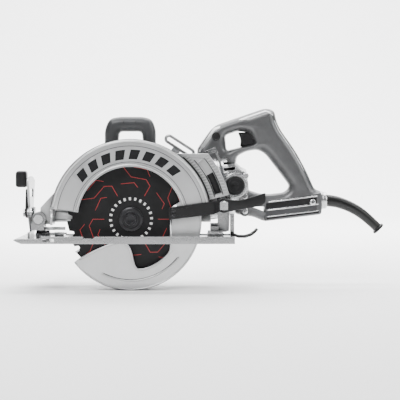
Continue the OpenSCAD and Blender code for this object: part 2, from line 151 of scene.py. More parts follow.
MATERIALS = {
    "cast_guard": material("cast_guard", (0.56, 0.562, 0.565), 0.9, 0.33, 0.05, 0.07, 1100, 0.05,
                           painted_crevice_shade=0.8),
    "cast_housing": material("cast_housing", (0.56, 0.562, 0.566), 0.95, 0.26, 0.08, 0.08, 700, 0.1,
                             painted_crevice_shade=0.85),
    "foot_metal": material("foot_metal", (0.33, 0.332, 0.335), 0.95, 0.28, 0.1, 0.1, 800, 0.12,
                           stretch=(0.35, 1, 1), painted_crevice_shade=0.85),
    "gray_handle": material("gray_handle", (0.1, 0.101, 0.103), 0.6, 0.36, 0.12, 0.07, 1500, 0.16,
                            painted_crevice_shade=0.6),
    "dark_handle": material("dark_handle", (0.045, 0.046, 0.048), 0.3, 0.38, 0.14, 0.08, 1600, 0.2,
                            specular=0.4),
    "black_plate": material("black_plate", (0.006, 0.006, 0.0065), 0.0, 0.34, 0.3, 0.1, 1300, 0.14,
                            specular=0.3),
    "black_plastic": material("black_plastic", (0.006, 0.006, 0.0065), 0.0, 0.4, 0.25, 0.1, 1400,
                              0.16, specular=0.3),
    "black_screw": material("black_screw", (0.03, 0.03, 0.032), 0.7, 0.32, 0.2, 0.1, 900, 0.06),
    "black_rubber": material("black_rubber", (0.006, 0.006, 0.006), 0.0, 0.34, 0.2, 0.08, 1200, 0.1,
                             specular=0.32),
    "steel": material("steel", (0.6, 0.605, 0.61), 1.0, 0.25, 0.08, 0.08, 1000, 0.05,
                      stretch=(1, 0.2, 1)),
    "carbide": material("carbide", (0.5, 0.505, 0.51), 1.0, 0.28, 0.1, 0.06, 1400, 0.05),
    "blade_coat": material("blade_coat", (0.007, 0.007, 0.0075), 0.0, 0.4, 0.25, 0.1, 1000, 0.06,
                           specular=0.2),
    "laminations": material("laminations", (0.3, 0.27, 0.24), 0.8, 0.45, 0.2, 0.1, 900, 0.1,
                            stretch=(12, 0.2, 0.2)),
    "copper": material("copper", (0.72, 0.36, 0.2), 1.0, 0.3, 0.15, 0.1, 900, 0.05),
    "bronze": material("bronze", (0.6, 0.43, 0.2), 1.0, 0.34, 0.12, 0.08, 900, 0.06),
}
MATERIALS["wire"] = material("wire", (0.3, 0.302, 0.305), 1.0, 0.3, 0.1, 0.08, 1200, 0.05,
                             painted_crevice_shade=0.5)
RED_LINE = material("red_line", (0.3, 0.014, 0.014), 0.0, 0.4, 0.12, 0.05, 1200, 0.03)
PALE_MARK = material("pale_mark", (0.62, 0.62, 0.61), 0.0, 0.45, 0.08, 0.05, 1200, 0.03)
BLACK_MARK = material("black_mark", (0.005, 0.005, 0.0055), 0.0, 0.5, 0.2, 0.06, 1300, 0.08,
                      specular=0.2)
# Near-black for the motor's dark seam, and painted shade laid as dark plates into slots, gaps, recesses and
# undersides.
DARK_JOINT_AND_PAINTED_SHADE = material("dark_joint_and_painted_shade", (0.008, 0.008, 0.0085), 0.0, 0.6, 0.2, 0.1, 1100, 0.15,
                     specular=0.2)
# Painted shade: a dark gray for thin lines laid along steps and rims, where shade falls.
PAINTED_GROOVE_SHADE = material("painted_groove_shade", (0.1, 0.1, 0.102), 0.4, 0.55, 0.3, 0.1, 1100, 0.15)


# ---- Mesh helpers ----

def piece(name, verts, faces, body, slot, mat=None, replaces=(), bevel=0.0, flat=False):
    """Links a mesh as one visible piece that rides on a body."""
    mesh = bpy.data.meshes.new(name)
    mesh.from_pydata([tuple(v) for v in verts], [], faces)
    mesh.validate()
    bm = bmesh.new()
    bm.from_mesh(mesh)
    bmesh.ops.recalc_face_normals(bm, faces=bm.faces)
    bm.to_mesh(mesh)
    bm.free()
    mesh.polygons.foreach_set("use_smooth", [not flat] * len(mesh.polygons))
    mesh.materials.append(mat or MATERIALS[slot])
    obj = bpy.data.objects.new(name, mesh)
    bpy.context.scene.collection.objects.link(obj)
    if bevel:
        round_edges(obj, bevel)
    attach(obj, body)
    if replaces:
        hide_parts(*replaces)
    return obj


def round_edges(obj, width_mm, segments=3, angle=32):
    bevel = obj.modifiers.new("edges", "BEVEL")
    bevel.width = width_mm * MM
    bevel.segments = segments
    bevel.limit_method = "ANGLE"
    bevel.angle_limit = math.radians(angle)
    bevel.harden_normals = True
    bevel.miter_outer = "MITER_ARC"
    normals = obj.modifiers.new("normals", "WEIGHTED_NORMAL")
    normals.keep_sharp = True


def weld(obj):
    """Joins the doubled points of a CAD mesh, so that its edges can be rounded."""
    obj.modifiers.new("weld", "WELD").merge_threshold = 2e-6


def soften(node, width_mm, segments=3):
    """Rounds the edges of a CAD node that stays visible."""
    obj = NODES[node]
    weld(obj)
    obj.data.polygons.foreach_set("use_smooth", [True] * len(obj.data.polygons))
    round_edges(obj, width_mm, segments)


def basis(axis):
    """Two unit vectors square to an axis."""
    axis = axis.normalized()
    side = Vector((0, 0, 1)) if abs(axis.z) < 0.9 else Vector((1, 0, 0))
    u = axis.cross(side).normalized()
    return u, axis.cross(u).normalized()


def lathe(profile, origin, axis, sides=64):
    """Verts and faces of a solid turned from (station, radius) pairs in mm, closed at both ends."""
    axis = axis.normalized()
    u, v = basis(axis)
    verts, faces = [], []
    for station, radius in profile:
        for k in range(sides):
            a = 2 * math.pi * k / sides
            ring = u * math.cos(a) + v * math.sin(a)
            verts.append(origin + axis * station * MM + ring * radius * MM)
    for i in range(len(profile) - 1):
        for k in range(sides):
            a, b = i * sides + k, i * sides + (k + 1) % sides
            faces.append((a, b, b + sides, a + sides))
    faces.append(tuple(range(sides)))
    last = (len(profile) - 1) * sides
    faces.append(tuple(range(last + sides - 1, last - 1, -1)))
    return verts, faces


def rounded_profile(points, radius, steps=4):
    """Rounds the inner corners of an open (station, radius) profile."""
    out = [points[0]]
    for before, here, after in zip(points, points[1:], points[2:]):
        out += corner_arc(before, here, after, radius, steps)
    return out + [points[-1]]


def corner_arc(before, here, after, radius, steps):
    """Points of a curve that cuts a corner, as a quadratic through its two tangent points."""
    here_v, before_v, after_v = Vector(here[:2]), Vector(before[:2]), Vector(after[:2])
    to_before, to_after = before_v - here_v, after_v - here_v
    cut = min(radius, to_before.length * 0.48, to_after.length * 0.48)
    start = here_v + to_before.normalized() * cut
    end = here_v + to_after.normalized() * cut
    points = []
    for i in range(steps + 1):
        t = i / steps
        points.append(tuple(start * (1 - t) ** 2 + here_v * 2 * t * (1 - t) + end * t * t))
    return points


def outline(corners, spacing=2.0):
    """A closed outline from (x, z, corner radius) points, evenly spaced along its length."""
    count = len(corners)
    points = []
    for i, corner in enumerate(corners):
        points += corner_arc(corners[i - 1], corner, corners[(i + 1) % count], corner[2], 8)
    ring = np.array(points + [points[0]])
    lengths = np.r_[0, np.cumsum(np.linalg.norm(np.diff(ring, axis=0), axis=1))]
    samples = max(12, int(lengths[-1] / spacing))
    stations = np.linspace(0, lengths[-1], samples, endpoint=False)
    return np.c_[np.interp(stations, lengths, ring[:, 0]), np.interp(stations, lengths, ring[:, 1])]


def area(ring):
    x, z = ring[:, 0], ring[:, 1]
    return 0.5 * float(np.sum(x * np.roll(z, -1) - np.roll(x, -1) * z))


def inward(ring, is_hole):
    """Unit vectors into the material, smoothed along the ring."""
    along = np.roll(ring, -1, axis=0) - np.roll(ring, 1, axis=0)
    normal = np.c_[-along[:, 1], along[:, 0]]
    if (area(ring) < 0) != is_hole:
        normal = -normal
    return normal / np.linalg.norm(normal, axis=1)[:, None]


def depth_of_material(rings, normals):
    """For each point of each ring, how far the material goes on inwards."""
    starts = np.concatenate(rings)
    ends = np.concatenate([np.roll(r, -1, axis=0) for r in rings])
    edge = ends - starts
    result = []
    for ring, normal in zip(rings, normals):
        reach = []
        for p, n in zip(ring + normal * 0.2, normal):
            across = edge[:, 0] * n[1] - edge[:, 1] * n[0]
            across[np.abs(across) < 1e-9] = 1e-9
            rel = p - starts
            t = (rel[:, 0] * n[1] - rel[:, 1] * n[0]) / across
            s = (rel[:, 0] * edge[:, 1] - rel[:, 1] * edge[:, 0]) / across
            hits = s[(t >= 0) & (t <= 1) & (s > 1e-6)]
            reach.append(hits.min() if len(hits) else 100.0)
        reach = np.array(reach)
        lowest = np.min([np.roll(reach, k) for k in range(-4, 5)], axis=0)
        result.append(np.mean([np.roll(lowest, k) for k in range(-4, 5)], axis=0))
    return result


def rounded_plate(outer, holes, y0, y1, edge, rise=None, steps=7, spacing=2.0):
    """A plate in the XZ plane with rounded edges, rounded less where its bars are narrow."""
    rings = [outline(outer, spacing)] + [outline(h, spacing) for h in holes]
    normals = [inward(r, i > 0) for i, r in enumerate(rings)]
    cuts = [np.minimum(edge, 0.44 * d) for d in depth_of_material(rings, normals)]
    rise = min(rise or edge, (y1 - y0) / 2 - 0.01)
    levels = []
    for i in range(steps + 1):
        a = math.pi / 2 * (1 - i / steps)
        levels.append((1 - math.cos(a), y0 + rise * (1 - math.sin(a))))
    levels += [(f, y0 + y1 - y) for f, y in reversed(levels)]
    verts, faces, starts = [], [], []
    for ring, normal, cut in zip(rings, normals, cuts):
        count, first = len(ring), len(verts)
        starts.append(first)
        for factor, y in levels:
            moved = ring + normal * (cut * factor)[:, None]
            verts += [at(x, y, z) for x, z in moved]
        for level in range(len(levels) - 1):
            for k in range(count):
                a = first + level * count + k
                b = first + level * count + (k + 1) % count
                faces.append((a, b, b + count, a + count))
    for level in (0, len(levels) - 1):
        loops, index = [], []
        for ring, normal, cut, first in zip(rings, normals, cuts, starts):
            moved = ring + normal * (cut * levels[level][0])[:, None]
            loops.append([Vector((x, z, 0)) for x, z in moved])
            index += [first + level * len(ring) + k for k in range(len(ring))]
        for tri in geometry.tessellate_polygon(loops):
            faces.append(tuple(index[k] for k in tri))
    return verts, faces


def tube(points, radii, sides=20, closed=False):
    """A round bar along points in metres, with one radius in mm or one for each point."""
    points = [Vector(p) for p in points]
    count = len(points)
    if not hasattr(radii, "__len__"):
        radii = [radii] * count
    verts, faces, u = [], [], None
    for i, p in enumerate(points):
        after = points[(i + 1) % count] if closed or i < count - 1 else p
        before = points[i - 1] if closed or i else p
        along = (after - before).normalized()
        u = basis(along)[0] if u is None else (u - along * u.dot(along)).normalized()
        v = along.cross(u)
        for k in range(sides):
            a = 2 * math.pi * k / sides
            verts.append(p + (u * math.cos(a) + v * math.sin(a)) * radii[i] * MM)
    for i in range(count if closed else count - 1):
        for k in range(sides):
            a, b = i * sides + k, i * sides + (k + 1) % sides
            c, d = ((i + 1) % count) * sides + (k + 1) % sides, ((i + 1) % count) * sides + k
            faces.append((a, b, c, d))
    if not closed:
        faces.append(tuple(range(sides)))
        faces.append(tuple(range((count - 1) * sides, count * sides))[::-1])
    return verts, faces


def arc_points(r, a0, a1, y, step=2.0):
    """Places on an arc round the arbor, from a0 to a1 degrees."""
    count = max(3, int(abs(a1 - a0) / step))
    arc = [polar(r, a0 + (a1 - a0) * i / count) for i in range(count + 1)]
    return [at(x, y, z) for x, z in arc]


def prism(corners, y0, y1):
    """A flat bar with an outline in (x, z)."""
    count = len(corners)
    verts = [at(x, y, z) for y in (y0, y1) for x, z in corners]
    faces = [tuple(range(count)), tuple(range(count, 2 * count))[::-1]]
    faces += [(k, (k + 1) % count, count + (k + 1) % count, count + k) for k in range(count)]
    return verts, faces


def arc_bar(r0, r1, a0, a1, y0, y1, slant=0.0):
    """A bar bent round the arbor; slant turns its inner edge by some degrees."""
    count = max(2, int(abs(a1 - a0) / 2))
    steps = [i / count for i in range(count + 1)]
    rim = [polar(r1, a0 + (a1 - a0) * t) for t in steps]
    inner = [polar(r0, a0 + slant + (a1 - a0) * t) for t in reversed(steps)]
    return prism(rim + inner, y0, y1)


def join(*parts):
    """Several (verts, faces) as one."""
    verts, faces = [], []
    for part_verts, part_faces in parts:
        shift = len(verts)
        verts += part_verts
        faces += [tuple(i + shift for i in f) for f in part_faces]
    return verts, faces


def strip(points, width, y0, y1):
    """A thin raised line of even width through (x, z) points, mitred at its bends."""
    pts = [Vector(p) for p in points]
    left, right = [], []
    for i, p in enumerate(pts):
        a = (p - pts[i - 1]).normalized() if i else None
        b = (pts[i + 1] - p).normalized() if i < len(pts) - 1 else None
        along = ((a or b) + (b or a)).normalized()
        side = Vector((-along.y, along.x))
        grow = 1 / max(0.5, abs(along.dot(b or a)))
        left.append(tuple(p + side * width / 2 * grow))
        right.append(tuple(p - side * width / 2 * grow))
    parts = [prism([left[i], left[i + 1], right[i + 1], right[i]], y0, y1)
             for i in range(len(pts) - 1)]
    return join(*parts)


# ---- Guards ----

def upper_guard_details():
    soften("upper_guard", 1.1)
    y_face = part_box("upper_guard")[0].y / MM
    rim = tube(arc_points(110.6, 9, 171, y_face + 0.5), 1.9, 14)
    lip = tube(arc_points(77.2, 10, 170, y_face + 0.3), 1.5, 12)
    piece("guard_rim_bead", *rim, "housing", "cast_guard")
    piece("guard_inner_bead", *lip, "housing", "cast_guard")
    # Painted shade: thin dark lines inside the rim, beside the inner lip and along the outer edge.
    painted_shade_strips = [arc_bar(r, r + 0.7, a0, a1, y, y + 0.4)
               for r, a0, a1, y in ((103.2, 9, 171, y_face + 0.75), (80.7, 9, 171, y_face + 0.75))]
    painted_shade_strips.append(arc_bar(112.5, 113.3, 9, 171, y_face - 0.1, y_face + 0.3))
    piece("guard_painted_shade_lines", *join(*painted_shade_strips), "housing", "cast_guard", PAINTED_GROOVE_SHADE)
    bars, width, gap, first = 8, 8.0, 4.6, 140.0
    marks = [arc_bar(85, 98.5, first - k * (width + gap), first - k * (width + gap) - width,
                     y_face + 0.85, y_face + 1.3, slant=2.2) for k in range(bars)]
    piece("guard_face_marks", *join(*marks), "housing", "cast_guard", BLACK_MARK, bevel=0.15)


def lower_guard_details():
    soften("lower_guard", 0.9)
    y_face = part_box("lower_guard")[0].y / MM
    edge = [(-72, -56, 2), (-59, -48.6, 6), (-45, -41.5, 14), (-30, -35.6, 14), (-15, -31.5, 12),
            (-6, -34, 8), (-1, -42, 12), (2, -51, 12), (4, -62, 12), (7.5, -70, 8),
            (17, -70.5, 8), (29, -66.5, 18), (41, -59.5, 18), (51, -51, 12), (56.6, -43, 10),
            (56.6, 10, 1)]
    line = [edge[0][:2]]
    for before, here, after in zip(edge, edge[1:], edge[2:]):
        line += corner_arc(before, here, after, here[2], 5)
    line.append(edge[-1][:2])
    bead = tube([at(x, y_face + 0.4, z) for x, z in line], 1.5, 12)
    piece("lower_guard_bead", *bead, "swing_guard", "cast_guard")
    step = tube(arc_points(86, -118, -38, y_face + 0.3), 1.2, 12)
    # Painted shade: thin dark lines along the step and inside the rim.
    painted_shade_strips = [arc_bar(84.2, 84.9, -117, -39, y_face - 0.15, y_face + 0.2),
               arc_bar(99.5, 100.1, -142, 11, y_face - 0.1, y_face + 0.3)]
    piece("lower_guard_painted_shade_lines", *join(*painted_shade_strips), "swing_guard", "cast_guard", PAINTED_GROOVE_SHADE)
    rim = tube(arc_points(98.7, -142, 11, y_face + 0.6), 1.2, 12)
    piece("lower_guard_step", *step, "swing_guard", "cast_guard")
    piece("lower_guard_rim", *rim, "swing_guard", "cast_guard")


def lift_loop():
    """The bent wire that lifts the lower guard."""
    centre_r, angle, turn = 124.5, 57, 4.7
    along = Vector(polar(1, angle + 90))
    out = Vector(polar(1, angle))
    centre = Vector(polar(centre_r, angle))
    path = []
    for side, half in ((1, 17), (-1, 19)):
        for i in range(9):
            a = math.radians(90 - 180 * i / 8)
            p = (centre + along * side * (half + turn * math.cos(a))
                 + out * side * turn * math.sin(a))
            path.append(at(p.x, 15.2, p.y))
    loop = tube(path, 2.2, 16, closed=True)
    arm = [centre + out * r + along * w for r, w in ((-92.5, 6), (-6, 6), (-6, -6), (-92.5, -6))]
    bar = prism([tuple(p) for p in arm], 14, 16)
    piece("guard_lift_wire", *loop, "swing_guard", "steel", MATERIALS["wire"],
          replaces=["guard_lift_lever"])
    piece("guard_lift_arm", *bar, "swing_guard", "steel", bevel=0.5)


def rear_shroud_details():
    soften("rear_shroud", 0.9)
    ribs = []
    for r0, r1, pitch, end in ((115.5, 121, 2.1, 48.5), (135.5, 141.5, 1.9, 39)):
        a = 15.5
        while a < end:
            ribs.append(arc_bar(r0, r1, a, a + pitch * 0.55, -6.9, -5.8, slant=0.7))
            a += pitch
    piece("shroud_ribs", *join(*ribs), "housing", "cast_guard", bevel=0.2)
    # Painted shade: dark plates in the channel and in the gaps beside the rib rows.
    piece("shroud_channel_shade", *arc_bar(124, 133, 16.6, 30, -5.0, -4.4), "housing", "cast_guard",
          DARK_JOINT_AND_PAINTED_SHADE)
    gap = [arc_bar(113.4, 115.2, 14.5, 50, -6.3, -5.9), arc_bar(121.9, 122.9, 15, 43, -6.5, -5.9),
           arc_bar(134.2, 135.1, 15, 39.5, -6.5, -5.9)]
    piece("shroud_gap_shade", *join(*gap), "housing", "cast_guard", DARK_JOINT_AND_PAINTED_SHADE)


# ---- Blade ----

def blade_details():
    lines = []
    for k in range(6):
        turn = 60 * k
        path = [polar(38, turn), polar(54, turn), polar(60, turn + 9), polar(60, turn + 30),
                polar(74, turn + 38), polar(80, turn + 38)]
        branch = [polar(46, turn + 18), polar(52, turn + 25), polar(52, turn + 46)]
        spur = [polar(66, turn + 6), polar(74, turn + 12), polar(74, turn + 27)]
        for points in (path, branch, spur):
            lines += [strip(points, 0.8, -0.72, -0.6), strip(points, 0.8, 0.6, 0.72)]
    piece("blade_red_lines", *join(*lines), "blade_drive", "blade_coat", RED_LINE, flat=True)
    dashes = [arc_bar(27, 31, 15 * k, 15 * k + 6, -0.72, -0.6) for k in range(24)]
    piece("blade_pale_dashes", *join(*dashes), "blade_drive", "blade_coat", PALE_MARK, flat=True)
    for name in ("blade", "blade_tips"):
        weld(NODES[name])
    round_edges(NODES["blade"], 0.12, 1)
    toward = Vector((0, -1, 0))
    washer = rounded_profile([(0.6, 0.1), (0.6, 17), (2.6, 17), (3.4, 14.5), (3.4, 13), (2.9, 12.6),
                              (2.9, 11.4), (4, 10.8), (4, 4), (4, 0.1)], 0.35, 2)
    head = rounded_profile([(4, 0.1), (4, 9), (4.8, 9), (6.4, 8.2), (9, 8), (9, 5.4), (7.2, 5),
                            (7.2, 0.1)], 0.4, 3)
    piece("outer_washer_turned", *lathe(washer, ARBOR, toward, 96), "blade_drive", "black_screw",
          replaces=["outer_washer"])
    piece("arbor_bolt_turned", *lathe(head, ARBOR, toward, 6 * 12), "blade_drive", "black_screw",
          replaces=["arbor_bolt"])


# ---- Handles ----

GRIP = [(93, 92, 3), (94, 101, 3), (117, 133.5, 12), (193, 159.5, 8), (206.5, 156.5, 7),
        (209.5, 141, 8), (216, 127, 16), (238, 97, 40), (256, 63, 30), (265.5, 41, 10),
        (275.5, 37.5, 3), (275.5, 4, 4), (191, -6.5, 4), (176, 0, 5), (150, 4, 4), (140, 30, 4),
        (120, 60, 4)]
FINGERS = [(148, 62, 4), (168, 39.5, 6), (191, 32.5, 12), (222, 36, 8), (229.5, 45, 9),
           (194, 92, 14), (182, 99, 12), (164, 95.5, 6), (152, 89, 5)]
TRIGGER_GAP = [(134.5, 119.5, 4), (153, 126, 4), (167, 124, 5), (178, 107.5, 4), (156, 102.3, 5),
               (136.5, 97.5, 4)]


def rear_handle():
    half = (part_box("handle_shell_far")[1].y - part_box("handle_shell_near")[0].y) / 2 / MM
    verts, faces = rounded_plate(GRIP, [FINGERS, TRIGGER_GAP], MOTOR_Y - half, MOTOR_Y + half,
                                 13, 14)
    piece("rear_handle_casting", verts, faces, "housing", "gray_handle",
          replaces=["handle_shell_near", "handle_shell_far"])
    # Painted highlight: a bar of light metal along the top of the dark casting, where its top catches the light.
    band = [(95.5, 98), (101, 106), (118.5, 130.5), (150, 141.2), (192, 155.3), (203, 153.4)]
    highlight_flange = tube([at(x + 1.5, MOTOR_Y - half + 4.6, z - 3.2) for x, z in band],
                  [1.5, 3.2, 3.6, 3.8, 3.8, 2.2], 18)
    piece("rear_handle_painted_highlight_band", *highlight_flange, "housing", "cast_guard")
    # Painted shadow: a dark line under the bright band.
    shadow = tube([at(x + 2, MOTOR_Y - half + 1.9, z - 8.2) for x, z in band[1:-1]],
                  [0.6, 1.3, 1.5, 1.0], 12)
    piece("rear_handle_painted_shadow_line", *shadow, "housing", "gray_handle", DARK_JOINT_AND_PAINTED_SHADE)
    # Painted highlight: a bar of light metal along the rear edge of the casting.
    edge = [(205, 151), (208.3, 141), (214.5, 127.5), (225, 112), (236, 96), (247.5, 76),
            (255.5, 59), (262, 44)]
    rear = tube([at(x - 3.2, MOTOR_Y - half + 5.6, z - 1) for x, z in edge],
                [1.2, 1.9, 2.0, 2.0, 2.0, 2.0, 1.9, 1.2], 14)
    piece("rear_handle_edge_highlight", *rear, "housing", "cast_guard")
    # Painted highlight: a bar of light metal along the trigger bow.
    guard = [(158, 100.4), (166, 100.6), (175, 103.4), (183, 107.6)]
    bow = tube([at(x, MOTOR_Y - half + 5.9, z - 0.6) for x, z in guard], 1.7, 12)
    piece("trigger_bow_highlight", *bow, "housing", "cast_housing")


def handle_block():
    """The block below the rear handle, with ridges in painted highlight and plates of painted shade along both its
    sides.
    """
    slope = math.tan(math.asin(MOTOR_AXIS.z))
    mid_x, shade_plate_depth = 235, 0.5
    half = (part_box("handle_shell_far")[1].y - MOTOR_POINT.y) / MM
    block = [(191, -6.2, 3), (275.3, 4.2, 4), (275.3, 36.5, 3), (192, 23.5, 3)]
    piece("rear_handle_block", *rounded_plate(block, [], MOTOR_Y - half, MOTOR_Y + half, 2.5, 2.5),
          "housing", "gray_handle")
    for side, name in ((-1, "near"), (1, "far")):
        face = MOTOR_Y + side * half
        ridges, painted_shade_strips = [], []
        # Real ridges, coloured as light metal for a painted highlight on the dark block.
        for z, x0, x1, r in ((26.8, 196, 270, 1.2), (15.0, 195, 271, 1.3), (5.4, 195, 271, 1.0)):
            points = [at(x, face - side * 0.3, z + (x - mid_x) * slope)
                      for x in (x0, x0 + 2, x1 - 2, x1)]
            ridges.append(tube(points, [0.4, r, r, 0.4], 12))
        # Painted shade: two dark plates stand on each side between the ridges, the upper one near-black and the
        # lower one dark gray.
        y0, y1 = sorted((face, face + side * shade_plate_depth))
        for z0, z1 in ((17, 25), (7.2, 13)):
            corners = [(x, z + (x - mid_x) * slope)
                       for x, z in ((194, z0), (268, z0), (268, z1), (194, z1))]
            painted_shade_strips.append(prism(corners, y0, y1))
        piece(f"block_ridges_painted_highlight_{name}", *join(*ridges), "housing", "cast_housing")
        piece(f"block_painted_shade_upper_{name}", *painted_shade_strips[0], "housing", "gray_handle", DARK_JOINT_AND_PAINTED_SHADE,
              bevel=0.2)
        piece(f"block_painted_shade_lower_{name}", *painted_shade_strips[1], "housing", "dark_handle", bevel=0.2)
        # Painted shade: a dark strip along the bottom of each side.
        under = [(x, z + (x - mid_x) * slope)
                 for x, z in ((195, 2.0), (271, 2.0), (271, 4.2), (195, 4.2))]
        lip = prism(under, y0, y1)
        piece(f"block_underside_painted_shade_{name}", *lip, "housing", "gray_handle", DARK_JOINT_AND_PAINTED_SHADE, bevel=0.2)


FRONT_GRIP_Y = (28, 52)


def front_handle():
    arch = [(-40, 85, 2), (-40, 128, 12), (-33, 143, 12), (-20, 146, 8), (16, 146, 8),
            (28, 142.5, 12), (34, 128, 12), (34, 85, 2), (17.5, 85, 2), (13.5, 124.5, 5),
            (-18.5, 124.5, 5), (-22.5, 85, 2)]
    grip = rounded_plate(arch, [], *FRONT_GRIP_Y, 10, 10)
    feet = [prism([(x - 9, 85), (x + 9, 85), (x + 9, 104), (x - 9, 104)], 22, 31)
            for x in (-31, 25)]
    piece("front_handle_grip", *grip, "housing", "dark_handle", replaces=["front_handle"])
    piece("front_handle_feet", *join(*feet), "housing", "dark_handle", bevel=1.2)
    seams = [cross_rib(x, 137, 8.2) for x in (-12, 6)]
    piece("front_handle_ribs", *join(*seams), "housing", "dark_handle")


def cross_rib(x, z0, rise):
    """A low rib that runs over the top bar of the front handle, from its near to its far side."""
    near, far = FRONT_GRIP_Y
    steps, inset = 12, 0.98
    points = []
    for i in range(steps + 1):
        a = math.pi * i / steps
        across = (far - near) / 2 * math.cos(a) * inset
        points.append(at(x, (near + far) / 2 - across, z0 + rise * math.sin(a)))
    return tube(points, 0.9, 8)


# ---- Motor, gear housing and boot ----

def on_motor(station, across, up):
    """A place from the motor's axis: mm along it, away from the blade, and square to both."""
    upward = MOTOR_AXIS.cross(Vector((0, 1, 0))).normalized()
    upward = upward if upward.z > 0 else -upward
    return MOTOR_POINT + MOTOR_AXIS * station * MM + Vector((0, across * MM, 0)) + upward * up * MM


def motor_details():
    for node, width in (("motor_housing", 1.0), ("motor_end_cap", 1.1), ("gear_housing", 1.4),
                        ("gear_cover", 0.9)):
        soften(node, width)
    shell = rounded_profile([(36, 42), (36, 46.3), (43, 46.3), (44.5, 45.2), (60, 45.15),
                             (60, 42)], 0.8)
    joint = rounded_profile([(122, 42), (122, 46.2), (132.5, 46.2), (132.5, 42)], 0.9)
    seam = rounded_profile([(127.3, 42), (127.3, 46.4), (128.0, 46.4), (128.0, 42)], 0.2)
    origin = on_motor(0, 0, 0)
    piece("motor_front_ring", *lathe(shell, origin, MOTOR_AXIS, 120), "housing", "cast_housing")
    piece("motor_rear_ring", *lathe(joint, origin, MOTOR_AXIS, 120), "housing", "cast_housing")
    piece("motor_seam", *lathe(seam, origin, MOTOR_AXIS, 120), "housing", "black_plastic",
          DARK_JOINT_AND_PAINTED_SHADE)
    ribs, count, first = [], 10, 20
    for k in range(count):
        a = math.radians(first + 360 / count * k)
        up, out = math.sin(a), math.cos(a)
        path = [on_motor(s, out * r, up * r)
                for s, r in ((62, 44.6), (64, 45.6), (118, 45.6), (121, 44.6))]
        ribs.append(tube(path, [0.6, 1.3, 1.3, 0.6], 10))
    piece("motor_ribs", *join(*ribs), "housing", "cast_housing")


def brush_caps():
    station = 149
    parts, rings, frames = [], [], []
    for side in (-1, 1):
        axis = Vector((0, side, 0))
        origin = on_motor(station, 0, 0)
        cap = rounded_profile([(34, 0.1), (34, 14), (48.6, 14), (50, 12.6), (50, 10.2), (48.9, 9.6),
                               (48.9, 5.6), (49.6, 5.0), (49.6, 0.1)], 0.5, 3)
        ring = rounded_profile([(30, 14.2), (30, 18.4), (47.2, 18.4), (48.4, 17.2),
                                (48.4, 14.2)], 0.8, 4)
        parts.append(lathe(cap, origin, axis, 96))
        rings.append(lathe(ring, origin, axis, 96))
        for a in (35, 125, 215, 305):
            c, s = math.cos(math.radians(a)), math.sin(math.radians(a))
            ear = [(38, 0.1), (38, 4.6), (46.4, 4.6), (47.2, 3.8), (47.2, 0.1)]
            place = on_motor(station + 20.2 * c, 0, 20.2 * s)
            frames.append(lathe(ear, place, axis, 28))
    piece("brush_caps_turned", *join(*parts), "housing", "black_plastic", replaces=["brush_caps"])
    piece("brush_cap_rings", *join(*rings), "housing", "cast_housing")
    piece("brush_ring_ears", *join(*frames), "housing", "cast_housing", bevel=0.3)
    # Painted shade: dark plates where the slots in the caps are.
    slots = []
    for side in (-1, 1):
        y = MOTOR_Y + side * 49.8
        x0, z0 = on_motor(station, 0, 0).x / MM, (on_motor(station, 0, 0).z - ARBOR.z) / MM
        slots.append(prism([(x0 - 4.4, z0 - 0.9), (x0 + 4.4, z0 - 0.9), (x0 + 4.4, z0 + 0.9),
                            (x0 - 4.4, z0 + 0.9)], y - 0.3, y + 0.1))
    piece("brush_cap_slot_shade", *join(*slots), "housing", "black_plastic", DARK_JOINT_AND_PAINTED_SHADE)


def cord_boot():
    # Rows of X, Z and radius, drawn as a smooth curve through them all
    path = [(284, 24, 8.6), (292, 23, 8.6), (300, 21.5, 8.4), (309, 18.6, 8.2), (318, 14.9, 7.95),
            (327, 10.2, 7.75), (335, 5.0, 7.55), (343, -1.4, 7.3), (350, -7.6, 7.1),
            (356, -13.2, 6.95), (359.6, -16.8, 6.9)]
    steps = 4
    fine, radii = [], []
    for i in range(len(path) - 1):
        a, b = path[max(0, i - 1)], path[i]
        c, d = path[i + 1], path[min(len(path) - 1, i + 2)]
        for step in range(steps):
            t = step / steps
            point = [0.5 * (2 * b[k] + (c[k] - a[k]) * t
                            + (2 * a[k] - 5 * b[k] + 4 * c[k] - d[k]) * t * t
                            + (3 * b[k] - a[k] - 3 * c[k] + d[k]) * t ** 3) for k in range(3)]
            fine.append(at(point[0], MOTOR_Y, point[1]))
            radii.append(point[2])
    fine.append(at(path[-1][0], MOTOR_Y, path[-1][1]))
    radii.append(path[-1][2])
    end_axis = Vector((1, 0, -1)).normalized()
    mouth = at(359, MOTOR_Y, -16.2)
    lip = rounded_profile([(-0.8, 6.6), (0.2, 9.4), (2.4, 9.6), (3.5, 9.0), (3.5, 4.8), (-4, 4.6),
                           (-4, 0.1)], 0.5, 3)
    piece("cord_boot_sleeve", *tube(fine, radii, 40), "housing", "black_rubber",
          replaces=["cord_boot"])
    piece("cord_boot_lip", *lathe(lip, mouth, end_axis, 64), "housing", "black_rubber")
    ridge = [p + Vector((0, -r * MM * 0.35, r * MM * 0.93))
             for p, r in zip(fine[2:-3], radii[2:-3])]
    piece("cord_boot_ridge", *tube(ridge, 0.7, 10), "housing", "black_rubber")
    collar = rounded_profile([(-3, 0.1), (-3, 13.6), (1.2, 14), (2.4, 12.2), (5.6, 12.2), (8, 11.2),
                              (8, 8.5), (6, 0.1)], 0.8, 4)
    piece("cord_collar_turned", *lathe(collar, at(276, MOTOR_Y, 24), Vector((1, 0, 0)), 80),
          "housing", "cast_housing", replaces=["cord_collar"])


# ---- Screws ----

